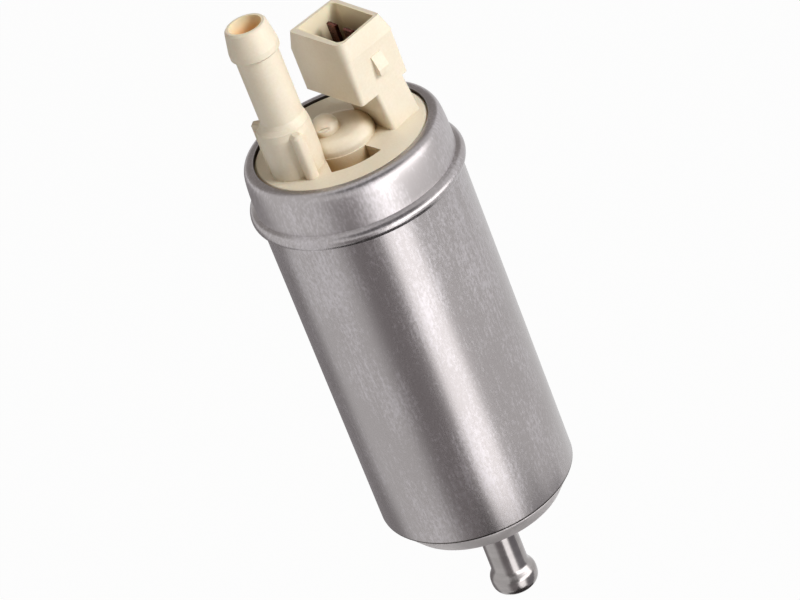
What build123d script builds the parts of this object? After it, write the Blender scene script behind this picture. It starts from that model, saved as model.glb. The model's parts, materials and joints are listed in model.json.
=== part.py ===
from build123d import *
import os
from math import atan2, cos, pi, radians, sin, sqrt

# Electric fuel pump for a car: a steel can that holds a toothed ring pump below and a
# permanent magnet motor above, closed by a moulded end cover with outlet and socket.
# Millimetres. +Z runs up the motor's axis, and the origin is on that axis, inside the
# straight wall that a clamp band grips. The front of the pump, as pictured, faces -Y.

# Driving sizes
can_r = 21.5            # outside of the can, a 43 mm pump
sheet = 1.0             # its sheet thickness
can_foot_z = -48.45     # lower edge of the can
can_top_z = 41.0        # top of its rolled rim
bead_z = 30.15          # rolled ridge below the rim
bead_rise = 1.5
inner_r = can_r - sheet - 0.08   # pieces that slide into the can

cover_z = 40.6          # flat top of the moulded end cover
cover_under_z = 35.6    # underside of its plate
skirt_z = 32.6          # lower edge of its skirt
plateau_r = 18.3        # raised centre inside the rolled rim

shaft_r = 2.5
running = 0.04          # radial play of the shaft in its bushes

# Stations up the axis, shared by neighbouring pieces
inlet_cover_z = -40.0
gear_top_z = -32.0
outlet_plate_z = -25.0
flux_top_z = 22.0
core_low_z, core_top_z = -17.0, 11.0
segment_z = 23.2        # running face of the commutator

# Toothed ring pump
lobes = 7               # inner lobes of the ring; the star has one fewer
eccentric = 0.9         # distance between the two gear centres
lobe_pitch_r = 9.0
lobe_r = 2.2
mesh_play = 0.08
ring_r = 12.5
gear_play = 0.03        # end play of each gear in its chamber

# Moulded cover: places in plan
outlet_x, outlet_y = -9.3, -4.3
tower_x = -9.8
tube_r, bore_r = 4.5, 3.43
outlet_top_z = 74.3
socket_floor_z, socket_top_z = 49.5, 63.8
blade_turn = -62.5      # degrees, the way the socket's long side runs
blade_places = [(6.77, 5.96), (9.31, 0.9)]
brush_angles = (105, 285)
brush_reach = 7.65      # brush centres from the axis
choke_places = [(12.1, 7.1), (13.5, -3.4)]

os.makedirs("parts", exist_ok=True)


def write(builder, name):
    """Labels a finished piece and writes it as one STEP file."""
    builder.part.label = name
    export_step(builder.part, f"parts/{name}.step")


# Can: drawn steel tube, with a ridge rolled out of it and its top rolled over the cover
roll_r = 2.3
roll_centre = (can_r - roll_r, can_top_z - roll_r)
with BuildPart() as can:
    with BuildSketch(Plane.XZ):
        with BuildLine():
            Polyline(
                (can_r - sheet, can_foot_z),
                (can_r - 0.35, can_foot_z),
                (can_r, can_foot_z + 0.35),
                (can_r, bead_z - bead_rise),
            )
            ThreePointArc(
                (can_r, bead_z - bead_rise),
                (can_r + bead_rise, bead_z),
                (can_r, bead_z + bead_rise),
            )
            Line((can_r, bead_z + bead_rise), (can_r, roll_centre[1]))
            CenterArc(roll_centre, roll_r, 0, 90)
            Polyline(
                (roll_centre[0], can_top_z),
                (18.75, can_top_z),
                (18.75, can_top_z - sheet),
                (roll_centre[0], can_top_z - sheet),
            )
            Polyline(
                (roll_centre[0], can_top_z - sheet),
                (can_r - sheet, roll_centre[1]),
                (can_r - sheet, bead_z + 1.15),
                (can_r + bead_rise - sheet, bead_z + 0.4),
                (can_r + bead_rise - sheet, bead_z - 0.4),
                (can_r - sheet, bead_z - 1.15),
                (can_r - sheet, can_foot_z),
            )
        make_face()
    revolve(axis=Axis.Z)
write(can, "can")


# Inlet cover: die-cast end with a bevelled lip below the can, a suction chamber inside
lip_low_r, lip_top_r, lip_z = 17.8, 20.7, -53.1
spigot_r, spigot_bore_r = 4.13, 3.1
chamber_r = 8.6
port_path_r, port_width, port_arc = 7.2, 2.4, 136
relief_x = 16.0
with BuildPart() as inlet_cover:
    with BuildSketch(Plane.XZ):
        with BuildLine():
            Polyline(
                (spigot_r, lip_z),
                (lip_low_r, lip_z),
                (lip_top_r, lip_z + 4.0),
                (lip_top_r, can_foot_z),
                (inner_r, can_foot_z),
                (inner_r, -45.2),
                (inner_r - 1.2, -45.2),
                (inner_r - 1.2, -43.8),
                (inner_r, -43.8),
                (inner_r, inlet_cover_z),
                (0, inlet_cover_z),
                (0, -42.6),
                (chamber_r, -42.6),
                (chamber_r, -44.6),
                (spigot_bore_r, -44.6),
                (spigot_bore_r, -45.2),
                (spigot_r, -45.2),
                close=True,
            )
        make_face()
    revolve(axis=Axis.Z)
    with BuildSketch(Plane.XY.offset(inlet_cover_z)):
        SlotArc(CenterArc((-eccentric / 2, 0), port_path_r, 22, port_arc), port_width)
        with Locations((relief_x, 0)):
            Circle(1.2)
    extrude(amount=-2.8, mode=Mode.SUBTRACT)
    with BuildSketch(Plane.YZ.offset(chamber_r - 0.5)):
        with Locations((0, -43.6)):
            Circle(0.8)
    extrude(amount=relief_x - chamber_r + 0.5, mode=Mode.SUBTRACT)
    with BuildSketch(Plane.XY.offset(inlet_cover_z)):
        with Locations((relief_x, 0)):
            Circle(1.2)
    extrude(amount=-3.6, mode=Mode.SUBTRACT)
    with BuildSketch(Plane.XY.offset(inlet_cover_z)):
        with PolarLocations(16.5, 2, start_angle=90):
            Circle(1.5)
    extrude(amount=-2.5, mode=Mode.SUBTRACT)
write(inlet_cover, "inlet_cover")


# Inlet spigot: polished steel tube with a swaged hose bead at its open end
bead_low_z, bead_high_z, spigot_end_z = -75.6, -73.8, -77.5
spigot_bead_r = 5.19
with BuildPart() as inlet_spigot:
    with BuildSketch(Plane.XZ):
        with BuildLine():
            Polyline(
                (spigot_bore_r, spigot_end_z + 0.4),
                (spigot_bore_r, -45.2),
                (spigot_r, -45.2),
                (spigot_r, -71.8),
                (4.35, -72.2),
                (spigot_bead_r - 0.15, -73.4),
                (spigot_bead_r, bead_high_z),
                (spigot_bead_r, bead_low_z),
            )
            ThreePointArc(
                (spigot_bead_r, bead_low_z),
                (4.72, -76.85),
                (3.8, spigot_end_z),
            )
            Polyline(
                (3.8, spigot_end_z),
                (spigot_bore_r + 0.4, spigot_end_z),
                (spigot_bore_r, spigot_end_z + 0.4),
            )
        make_face()
    revolve(axis=Axis.Z)
write(inlet_spigot, "inlet_spigot")


def seal_ring(centre_r, wire_r, z):
    """Rubber ring of round section, lying in a groove at height z."""
    with BuildPart() as ring:
        with BuildSketch(Plane.XZ):
            with Locations((centre_r, z)):
                RegularPolygon(wire_r, 8, rotation=22.5)
        revolve(axis=Axis.Z)
    return ring


write(seal_ring(19.85, 0.62, -44.5), "inlet_seal")
write(seal_ring(19.8, 0.66, 35.2), "cover_seal")


# Gear housing: plate with the off-centre chamber that the ring gear turns in
with BuildPart() as gear_housing:
    with BuildSketch(Plane.XY.offset(inlet_cover_z)):
        Circle(inner_r)
        with Locations((-eccentric, 0)):
            Circle(ring_r + 0.06, mode=Mode.SUBTRACT)
        with Locations((relief_x, 0)):
            Circle(2.25, mode=Mode.SUBTRACT)
        with PolarLocations(16.5, 2, start_angle=90):
            Circle(1.5, mode=Mode.SUBTRACT)
    extrude(amount=gear_top_z - inlet_cover_z)
write(gear_housing, "gear_housing")


# Ring gear: seven round lobes round an open centre, on the off-centre axis
root_r = lobe_pitch_r - lobe_r + 2 * eccentric + 0.06
with BuildPart() as ring_gear:
    with BuildSketch(Plane.XY.offset(inlet_cover_z + gear_play)):
        with Locations((-eccentric, 0)):
            Circle(ring_r)
            Circle(root_r, mode=Mode.SUBTRACT)
        with Locations((-eccentric, 0)):
            with PolarLocations(lobe_pitch_r, lobes):
                Circle(lobe_r)
    extrude(amount=gear_top_z - inlet_cover_z - 2 * gear_play)
write(ring_gear, "ring_gear")


def star_point(turn):
    """Point of the star's outline: the curve that the ring's round lobes roll against."""
    reach = lobe_r + mesh_play
    lean = atan2(
        sin((1 - lobes) * turn),
        lobe_pitch_r / (eccentric * lobes) - cos((1 - lobes) * turn),
    )
    x = lobe_pitch_r * cos(turn) - reach * cos(turn + lean) - eccentric * cos(lobes * turn)
    y = lobe_pitch_r * sin(turn) - reach * sin(turn + lean) - eccentric * sin(lobes * turn)
    return (x, y)


# Star gear: six lobes, one fewer than the ring, driven by the flats of the shaft
star_arcs = 8 * (lobes - 1)
step = pi / star_arcs
with BuildPart() as star_gear:
    with BuildSketch(Plane.XY.offset(inlet_cover_z + gear_play)):
        with BuildLine():
            for i in range(star_arcs):
                first = 2 * i * step
                ThreePointArc(star_point(first), star_point(first + step), star_point(first + 2 * step))
        make_face()
    extrude(amount=gear_top_z - inlet_cover_z - 2 * gear_play)
    with BuildSketch(Plane.XY.offset(inlet_cover_z)):
        Circle(shaft_r)
        Rectangle(6, 4, mode=Mode.INTERSECT)
    extrude(amount=gear_top_z - inlet_cover_z, mode=Mode.SUBTRACT)
write(star_gear, "star_gear")


# Outlet plate: closes the gears from above, with the pressure port and the lower bush
bush_r = 4.2
with BuildPart() as outlet_plate:
    with BuildSketch(Plane.XY.offset(gear_top_z)):
        Circle(inner_r)
        Circle(bush_r, mode=Mode.SUBTRACT)
        SlotArc(
            CenterArc((-eccentric / 2, 0), port_path_r, 202, port_arc),
            port_width,
            mode=Mode.SUBTRACT,
        )
        with Locations((relief_x, 0)):
            Circle(1.3, mode=Mode.SUBTRACT)
    extrude(amount=outlet_plate_z - gear_top_z)
    with BuildSketch(Plane.XY.offset(gear_top_z)):
        with PolarLocations(16.5, 2, start_angle=90):
            Circle(1.5)
    extrude(amount=4, mode=Mode.SUBTRACT)
write(outlet_plate, "outlet_plate")


def bush(outer_r, low_z, top_z):
    """Sintered bush for the shaft."""
    with BuildPart() as piece:
        with BuildSketch(Plane.XY.offset(low_z)):
            Circle(outer_r)
            Circle(shaft_r + running, mode=Mode.SUBTRACT)
        extrude(amount=top_z - low_z)
    return piece


write(bush(bush_r, gear_top_z, outlet_plate_z), "lower_bush")
write(bush(4.5, cover_under_z, 41.2), "upper_bush")


# Two dowels that keep the pump plates in line, each a plain pin
with BuildPart() as plate_dowels:
    with BuildSketch(Plane.XY.offset(inlet_cover_z - 2.5)):
        with PolarLocations(16.5, 2, start_angle=90):
            Circle(1.5)
    extrude(amount=gear_top_z - inlet_cover_z + 6.5)
write(plate_dowels, "plate_dowels")


# Relief valve: a steel ball held up against the outlet plate's hole by a spring
ball_r = 1.9
ball_z = gear_top_z - sqrt(ball_r ** 2 - 1.3 ** 2) - 0.03
with BuildPart() as relief_ball:
    with BuildSketch(Plane.XZ):
        with BuildLine():
            CenterArc((relief_x, ball_z), ball_r, -90, 180)
            Line((relief_x, ball_z + ball_r), (relief_x, ball_z - ball_r))
        make_face()
    revolve(axis=Axis((relief_x, 0, 0), (0, 0, 1)))
write(relief_ball, "relief_ball")


def coil_spring(x, y, low_z, top_z, coil_r, wire_r, turns):
    """Wire wound from low_z to top_z about a vertical line through (x, y)."""
    rise = top_z - low_z - 2 * wire_r
    start = Vector(x, y, low_z + wire_r)
    with BuildPart() as coil:
        with BuildLine():
            path = Helix(rise / turns, rise, coil_r, center=start)
        with BuildSketch(Plane(path @ 0, z_dir=path % 0)):
            RegularPolygon(wire_r, 4)
        sweep(path=path.edges()[0], is_frenet=True)
    return coil


write(coil_spring(relief_x, 0, inlet_cover_z, ball_z - 1.31, 1.5, 0.22, 4), "relief_spring")


# Flux ring: thick steel tube inside the can, round the magnets
magnet_r, magnet_bore_r = 18.55, 14.7
with BuildPart() as flux_ring:
    with BuildSketch(Plane.XY.offset(outlet_plate_z)):
        Circle(inner_r)
        Circle(magnet_r, mode=Mode.SUBTRACT)
    extrude(amount=flux_top_z - outlet_plate_z)
write(flux_ring, "flux_ring")


def arc_slab(outer, inner, middle_angle, spread, low_z, top_z):
    """Slab between two radii, over spread degrees, as the magnets and their clips are."""
    first = middle_angle - spread / 2
    with BuildPart() as slab:
        with BuildSketch(Plane.XY.offset(low_z)):
            with BuildLine():
                far = CenterArc((0, 0), outer, first, spread)
                near = CenterArc((0, 0), inner, first, spread)
                Line(far @ 0, near @ 0)
                Line(far @ 1, near @ 1)
            make_face()
        extrude(amount=top_z - low_z)
    return slab


magnet_low_z, magnet_top_z = -20.0, 14.0
for name, middle in (("magnet_north", 0), ("magnet_south", 180)):
    write(arc_slab(magnet_r, magnet_bore_r, middle, 130, magnet_low_z, magnet_top_z), name)


# Magnet clips: bent spring steel between the magnets' edges
clip_spread = 49
for name, middle in (("magnet_clip_front", -90), ("magnet_clip_back", 90)):
    with BuildPart() as clip:
        with BuildSketch(Plane.XY.offset(magnet_low_z)):
            with BuildLine():
                first = middle - clip_spread / 2
                far = CenterArc((0, 0), magnet_r, first, clip_spread)
                near = CenterArc((0, 0), magnet_r - 0.5, first, clip_spread)
                Line(far @ 0, near @ 0)
                Line(far @ 1, near @ 1)
            make_face()
            for side in (-1, 1):
                edge_angle = middle + side * (clip_spread / 2 - 0.9)
                with Locations(Location((0, 0, 0), (0, 0, edge_angle))):
                    with Locations((magnet_r - 1.8, 0)):
                        Rectangle(3.2, 0.5)
        extrude(amount=magnet_top_z - magnet_low_z)
    write(clip, name)


# Armature: shaft with two flats at its foot, slotted core, copper winding, end pieces
shaft_top_z = 41.0
with BuildPart() as armature_shaft:
    with BuildSketch(Plane.XY.offset(-38.9)):
        Circle(shaft_r)
    extrude(amount=shaft_top_z + 38.9)
    with BuildSketch(Plane.XY.offset(-38.9)):
        Circle(shaft_r + 0.5)
        Rectangle(7, 4, mode=Mode.SUBTRACT)
    extrude(amount=gear_top_z + 38.9 + 0.4, mode=Mode.SUBTRACT)
    chamfer(armature_shaft.faces().sort_by(Axis.Z)[-1].edges(), 0.4)
write(armature_shaft, "armature_shaft")

slots = 8
core_r = 13.9
slot_mouth, slot_low_r, slot_high_r = 1.6, 6.4, 12.3
with BuildPart() as armature_core:
    with BuildSketch(Plane.XY.offset(core_low_z)):
        Circle(core_r)
        Circle(shaft_r, mode=Mode.SUBTRACT)
        with PolarLocations(0, slots):
            with BuildLine():
                Polyline(
                    (slot_low_r, -1.1),
                    (slot_high_r, -3.2),
                    (slot_high_r, 3.2),
                    (slot_low_r, 1.1),
                    close=True,
                )
            make_face(mode=Mode.SUBTRACT)
            with Locations((core_r - 0.5, 0)):
                Rectangle(3, slot_mouth, mode=Mode.SUBTRACT)
    extrude(amount=core_top_z - core_low_z)
write(armature_core, "armature_core")

turn_low_z, turn_top_z = -23.0, 17.0
with BuildPart() as armature_winding:
    for low_z, top_z in ((turn_low_z, core_low_z), (core_top_z, turn_top_z)):
        with BuildSketch(Plane.XZ):
            with Locations(((slot_low_r + slot_high_r) / 2 - 0.4, (low_z + top_z) / 2)):
                Rectangle(slot_high_r - slot_low_r + 1.6, top_z - low_z)
            chamfer(vertices(), 1.6)
        revolve(axis=Axis.Z)
    with BuildSketch(Plane.XY.offset(core_low_z - 2)):
        with PolarLocations(0, slots):
            with BuildLine():
                Polyline(
                    (slot_low_r + 0.3, -0.95),
                    (slot_high_r - 0.2, -2.9),
                    (slot_high_r - 0.2, 2.9),
                    (slot_low_r + 0.3, 0.95),
                    close=True,
                )
            make_face()
    extrude(amount=core_top_z - core_low_z + 4)
write(armature_winding, "armature_winding")


def sleeve(outer_r, inner_hole_r, low_z, top_z):
    """Plain ring about the shaft."""
    with BuildPart() as piece:
        with BuildSketch(Plane.XY.offset(low_z)):
            Circle(outer_r)
            Circle(inner_hole_r, mode=Mode.SUBTRACT)
        extrude(amount=top_z - low_z)
    return piece


write(sleeve(4.6, shaft_r, -24.2, core_low_z), "shaft_spacer")
write(sleeve(4.6, shaft_r, outlet_plate_z + 0.05, -24.2), "thrust_washer")


# Commutator: plastic hub with a flat ring of segments on top
hub_z = 18.0
with BuildPart() as commutator_hub:
    with BuildSketch(Plane.XZ):
        with BuildLine():
            Polyline(
                (shaft_r, core_top_z),
                (4.6, core_top_z),
                (4.6, hub_z),
                (10.5, hub_z),
                (10.5, 20.8),
                (4.6, 20.8),
                (4.6, segment_z - 0.4),
                (shaft_r, segment_z - 0.4),
                close=True,
            )
        make_face()
    revolve(axis=Axis.Z)
write(commutator_hub, "commutator_hub")

with BuildPart() as commutator_segments:
    with BuildSketch(Plane.XY.offset(20.8)):
        Circle(10.4)
        Circle(5.0, mode=Mode.SUBTRACT)
        with PolarLocations(0, slots, start_angle=22.5):
            with Locations((7.7, 0)):
                Rectangle(7, 0.6, mode=Mode.SUBTRACT)
    extrude(amount=segment_z - 20.8)
write(commutator_segments, "commutator_segments")


# Brush carrier: moulded plate with two brush guides and cups for the chokes
carrier_z, carrier_plate_z, guide_top_z = 24.6, 27.0, 33.0
brush_long, brush_wide = 6.0, 4.6
brush_play = 0.06
with BuildPart() as brush_carrier:
    with BuildSketch(Plane.XY.offset(flux_top_z)):
        Circle(inner_r)
        Circle(18.2, mode=Mode.SUBTRACT)
    extrude(amount=skirt_z - flux_top_z)
    with BuildSketch(Plane.XY.offset(carrier_z)):
        Circle(18.6)
    extrude(amount=carrier_plate_z - carrier_z)
    with BuildSketch(Plane.XY.offset(carrier_plate_z)):
        with PolarLocations(brush_reach, 2, start_angle=brush_angles[0]):
            Rectangle(brush_wide + 2.2, brush_long + 2.2)
        with Locations(*choke_places):
            Circle(3.3)
    extrude(amount=guide_top_z - carrier_plate_z)
    with BuildSketch(Plane.XY.offset(carrier_z)):
        Circle(4.0)
        with PolarLocations(brush_reach, 2, start_angle=brush_angles[0]):
            Rectangle(brush_wide + 2 * brush_play, brush_long + 2 * brush_play)
        with PolarLocations(0, 2, start_angle=180):
            SlotArc(CenterArc((0, 0), 14.2, -24, 48), 3.6)
    extrude(amount=carrier_plate_z - carrier_z, mode=Mode.SUBTRACT)
    with BuildSketch(Plane.XY.offset(carrier_plate_z)):
        with PolarLocations(brush_reach, 2, start_angle=brush_angles[0]):
            Rectangle(brush_wide + 2 * brush_play, brush_long + 2 * brush_play)
        with Locations(*choke_places):
            Circle(2.45)
    extrude(amount=guide_top_z - carrier_plate_z, mode=Mode.SUBTRACT)
write(brush_carrier, "brush_carrier")


# Brushes and the springs that press them on the commutator
brush_low_z, brush_top_z = segment_z + 0.03, 30.4
for name, angle in zip(("positive", "negative"), brush_angles):
    middle_x = brush_reach * cos(radians(angle))
    middle_y = brush_reach * sin(radians(angle))
    with BuildPart() as brush:
        with BuildSketch(Plane.XY.offset(brush_low_z)):
            with Locations(Location((middle_x, middle_y, 0), (0, 0, angle))):
                Rectangle(brush_wide, brush_long)
        extrude(amount=brush_top_z - brush_low_z)
    write(brush, f"brush_{name}")
    spring = coil_spring(middle_x, middle_y, brush_top_z, cover_under_z, 1.75, 0.25, 4)
    write(spring, f"brush_spring_{name}")


# Suppression chokes: ferrite rods wound with a few turns of copper
choke_top_z = 34.4
for name, place in zip(("positive", "negative"), choke_places):
    with BuildPart() as choke_core:
        with BuildSketch(Plane.XY.offset(carrier_plate_z)):
            with Locations(place):
                Circle(1.4)
        extrude(amount=choke_top_z - carrier_plate_z)
    write(choke_core, f"choke_core_{name}")
    coil = coil_spring(*place, carrier_plate_z + 0.1, choke_top_z - 0.6, 1.85, 0.32, 6)
    write(coil, f"choke_coil_{name}")


# Terminal blades: flat tabs in the socket on narrower legs through the moulding
blade_wide, blade_thick, blade_tip_z = 2.8, 0.8, 62.4
leg_wide, leg_shift = 1.6, 0.6
leg_low_z = 33.4
cavity_floor_z = socket_floor_z + 1.6
blade_run = (cos(radians(blade_turn)), sin(radians(blade_turn)), 0)
for name, place in zip(("positive", "negative"), blade_places):
    spot = Plane(origin=(*place, cavity_floor_z), x_dir=blade_run)
    with BuildPart() as terminal:
        with BuildSketch(spot):
            Rectangle(blade_wide, blade_thick)
        extrude(amount=blade_tip_z - cavity_floor_z)
        chamfer(terminal.faces().sort_by(Axis.Z)[-1].edges(), 0.28)
        with BuildSketch(spot):
            with Locations((leg_shift, 0)):
                Rectangle(leg_wide, blade_thick)
        extrude(amount=leg_low_z - cavity_floor_z)
    write(terminal, f"terminal_{name}")


# End cover: one moulding with the outlet tower, the socket on its neck, the round cap
# over the upper bush, a moulded pocket and the skirt that enters the can
tower_r, shoulder_low_z, shoulder_z = 5.65, 49.6, 52.8
barb_r = 5.16
cap_r, cap_top_z = 7.4, 43.5
valve_bore_r, valve_bore_top_z = 3.9, 48.2
band_z = 59.5           # lower edge of the thicker band round the socket's mouth
wall_turn = 33.3        # degrees, the way the socket's front right wall runs
neck_foot = [(10.3, -5.6), (17.2, -0.6), (11.2, 9.6), (4.7, 6.0)]
neck_head = [(9.6, -5.45), (16.3, -1.1), (10.2, 10.2), (3.6, 5.8)]
# Corners of the socket in plan: front, right, back, left
socket_low = [(6.2, -7.95), (17.4, -0.6), (9.4, 15.3), (-2.85, 8.4)]
socket_middle = [(6.31, -8.1), (17.6, -0.5), (9.4, 15.3), (-2.85, 8.0)]
socket_mouth = [(6.2, -7.9), (16.1, -0.75), (8.9, 13.0), (-1.8, 6.5)]
cavity = [(6.75, -6.7), (14.9, -0.7), (8.4, 11.8), (0.0, 6.5)]


def round_corners(front_round, back_round, other_round):
    """Rounds the corners of the socket outline that is being drawn."""
    in_order = vertices().sort_by(Axis.Y)
    fillet(in_order[1:3], other_round)
    fillet(vertices().sort_by(Axis.Y)[-1:], back_round)
    fillet(vertices().sort_by(Axis.Y)[0:1], front_round)


def gusset(angle, reach, wide, top_z, nose_round, top_chamfer):
    """Upright rib against the tower, with its outer edge rounded and its top chamfered."""
    with BuildPart() as rib:
        with BuildSketch(Plane.XY.offset(cover_z - 0.5)):
            Rectangle(reach, wide, align=(Align.MIN, Align.CENTER))
        extrude(amount=top_z - cover_z + 0.5)
        fillet(rib.faces().sort_by(Axis.X)[-1].edges().filter_by(Axis.Z), nose_round)
        top_edges = rib.faces().sort_by(Axis.Z)[-1].edges()
        chamfer(top_edges.filter_by(Plane.YZ, reverse=True), top_chamfer)
    return rib.part.moved(Location((tower_x, outlet_y, 0), (0, 0, angle)))


with BuildPart() as end_cover:
    # Flange, plate and skirt, with the groove of the cover seal
    with BuildSketch(Plane.XZ):
        with BuildLine():
            Polyline(
                (0, cover_under_z),
                (17.4, cover_under_z),
                (17.4, skirt_z),
                (inner_r, skirt_z),
                (inner_r, cover_under_z - 1.1),
                (19.1, cover_under_z - 1.1),
                (19.1, cover_under_z + 0.3),
                (inner_r, cover_under_z + 0.3),
                (inner_r, roll_centre[1]),
                (roll_centre[0], roll_centre[1] + 1.22),
                (plateau_r, roll_centre[1] + 1.22),
                (plateau_r, cover_z - 0.35),
                (plateau_r - 0.35, cover_z),
                (0, cover_z),
                close=True,
            )
        make_face()
    revolve(axis=Axis.Z)
    # Round cap over the bush, with the small gate peg on it
    with BuildSketch(Plane.XY.offset(cover_z)):
        Circle(cap_r)
    extrude(amount=cap_top_z - cover_z)
    fillet(end_cover.faces().sort_by(Axis.Z)[-1].edges(), 2.2)
    with BuildSketch(Plane.XY.offset(cap_top_z - 0.5)):
        with Locations((-2.15, 0.0)):
            Circle(2.95)
    extrude(amount=3.7)
    fillet(end_cover.faces().sort_by(Axis.Z)[-1].edges(), 2.5)
    # Curved pocket in front of the cap
    with BuildSketch(Plane.XY.offset(cover_z)):
        with BuildLine():
            far = CenterArc((0, 0), 12.6, -109.5, 51)
            near = CenterArc((0, 0), cap_r + 0.2, -125.5, 67)
            Line(far @ 0, near @ 0)
            Line(far @ 1, near @ 1)
        make_face()
    extrude(amount=-3.5, mode=Mode.SUBTRACT)
    # Outlet tower, its soft shoulder and its barbed tube
    with BuildSketch(Plane.XY.offset(cover_z - 0.5)):
        with Locations((tower_x, outlet_y)):
            Circle(tower_r)
    extrude(amount=shoulder_low_z - cover_z + 0.5)
    for step_z, step_x, step_r in (
        (shoulder_low_z, tower_x, tower_r),
        (shoulder_low_z + 1.3, tower_x + 0.05, tower_r - 0.2),
        (shoulder_z - 0.9, outlet_x - 0.1, tube_r + 0.35),
        (shoulder_z, outlet_x, tube_r),
    ):
        with BuildSketch(Plane.XY.offset(step_z)):
            with Locations((step_x, outlet_y)):
                Circle(step_r)
    loft(ruled=True)
    # Two gussets that steady the tower
    add(gusset(-74, 7.85, 2.5, 50.7, 1.1, 0.6))
    add(gusset(158, 6.1, 1.9, 52.2, 0.3, 0.2))
    with BuildSketch(Plane.XZ):
        with BuildLine():
            Polyline(
                (0, shoulder_z),
                (tube_r, shoulder_z),
                (tube_r, 67.7),
                (barb_r - 0.05, 68.1),
                (barb_r, 68.2),
                (barb_r, 69.4),
                (tube_r, 73.3),
                (tube_r - 0.14, 73.9),
                (tube_r - 0.5, outlet_top_z),
                (0, outlet_top_z),
                close=True,
            )
        make_face()
    tube_solid = revolve(axis=Axis.Z, mode=Mode.PRIVATE)
    add(tube_solid.moved(Location((outlet_x, outlet_y, 0))))
    with BuildSketch(Plane.XY.offset(outlet_top_z)):
        with Locations((outlet_x, outlet_y)):
            Circle(bore_r)
    extrude(amount=cover_under_z - outlet_top_z, mode=Mode.SUBTRACT)
    with BuildSketch(Plane.XY.offset(cover_under_z)):
        with Locations((outlet_x, outlet_y)):
            Circle(valve_bore_r)
    extrude(amount=valve_bore_top_z - cover_under_z, mode=Mode.SUBTRACT)
    # Leaning neck under the socket
    with BuildSketch(Plane.XY.offset(cover_z - 0.5)):
        with BuildLine():
            Polyline(*neck_foot, close=True)
        make_face()
        fillet(vertices(), 0.9)
    with BuildSketch(Plane.XY.offset(socket_floor_z)):
        with BuildLine():
            Polyline(*neck_head, close=True)
        make_face()
        fillet(vertices(), 0.9)
    loft()
    # Socket shroud: straight walls below, and above them a slightly thicker band whose
    # back walls are drawn in towards the mouth
    with BuildSketch(Plane.XY.offset(socket_floor_z)):
        with BuildLine():
            Polyline(*socket_low, close=True)
        make_face()
        round_corners(0.8, 0.7, 0.7)
    with BuildSketch(Plane.XY.offset(band_z)):
        with BuildLine():
            Polyline(*socket_low[:3], socket_middle[3], close=True)
        make_face()
        round_corners(1.3, 0.7, 0.7)
    loft()
    with BuildSketch(Plane.XY.offset(band_z)):
        with BuildLine():
            Polyline(*socket_middle, close=True)
        make_face()
        round_corners(1.4, 0.7, 0.7)
    with BuildSketch(Plane.XY.offset(socket_top_z)):
        with BuildLine():
            Polyline(*socket_mouth, close=True)
        make_face()
        round_corners(1.9, 0.7, 0.7)
    loft()
    with BuildSketch(Plane.XY.offset(cavity_floor_z)):
        with BuildLine():
            Polyline(*cavity, close=True)
        make_face()
        round_corners(1.4, 1.5, 0.5)
    extrude(amount=socket_top_z - cavity_floor_z, mode=Mode.SUBTRACT)
    # Bore of the upper bush, and the holes the terminal legs pass through
    with BuildSketch(Plane.XY.offset(cover_under_z)):
        Circle(4.5)
    extrude(amount=41.6 - cover_under_z, mode=Mode.SUBTRACT)
    for place in blade_places:
        with BuildSketch(Plane(origin=(*place, cavity_floor_z), x_dir=blade_run)):
            with Locations((leg_shift, 0)):
                Rectangle(leg_wide, blade_thick)
        extrude(amount=cover_under_z - cavity_floor_z, mode=Mode.SUBTRACT)
    # Latch wedge on the front right wall
    wall = Vector(cos(radians(wall_turn)), sin(radians(wall_turn)), 0)
    outward = wall.rotate(Axis.Z, -90)
    latch_start = Vector(*socket_low[0], 0) + wall * 6.1
    with BuildSketch(Plane(origin=latch_start, x_dir=outward, z_dir=wall)):
        with BuildLine():
            Polyline((-0.4, -53.3), (1.3, -53.3), (1.3, -54.4), (0.2, -57.4), (-0.4, -57.4), close=True)
        make_face()
    extrude(amount=2.8)
write(end_cover, "end_cover")


# Check valve in the tower: seat, sliding poppet, spring and the guide above it
def round_piece(profile, x, y):
    """Turned piece: its half profile revolved about a vertical line through (x, y)."""
    with BuildPart() as piece:
        with BuildSketch(Plane.XZ):
            with BuildLine():
                Polyline(*[(x + r, z) for r, z in profile], close=True)
            make_face()
        revolve(axis=Axis((x, 0, 0), (0, 0, 1)))
    return piece.part.moved(Location((0, y, 0)))


seat_top_z, guide_low_z, guide_high_z = 38.2, 46.2, 48.2
stem_r = 0.9
with BuildPart() as valve_seat:
    seat_outline = [(1.9, 35.6), (3.9, 35.6), (3.9, seat_top_z), (2.6, seat_top_z), (1.9, 37.5)]
    add(round_piece(seat_outline, outlet_x, outlet_y))
write(valve_seat, "valve_seat")

poppet_profile = [
    (0, 37.3),
    (1.5, 37.55),
    (2.45, seat_top_z + 0.05),
    (3.3, seat_top_z + 0.05),
    (3.3, seat_top_z + 1.0),
    (stem_r, seat_top_z + 1.0),
    (stem_r, 47.4),
    (0, 47.6),
]
with BuildPart() as valve_poppet:
    add(round_piece(poppet_profile, outlet_x, outlet_y))
write(valve_poppet, "valve_poppet")

with BuildPart() as valve_guide:
    with BuildSketch(Plane.XY.offset(guide_low_z)):
        with Locations((outlet_x, outlet_y)):
            Circle(valve_bore_r)
            Circle(stem_r + 0.06, mode=Mode.SUBTRACT)
            with PolarLocations(2.45, 3):
                Circle(0.95, mode=Mode.SUBTRACT)
    extrude(amount=guide_high_z - guide_low_z)
write(valve_guide, "valve_guide")

write(coil_spring(outlet_x, outlet_y, seat_top_z + 1.0, guide_low_z, 1.9, 0.25, 5), "valve_spring")
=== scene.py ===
import json
from math import cos, pi, radians, sin

import bpy
from mathutils import Matrix, Vector


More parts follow.
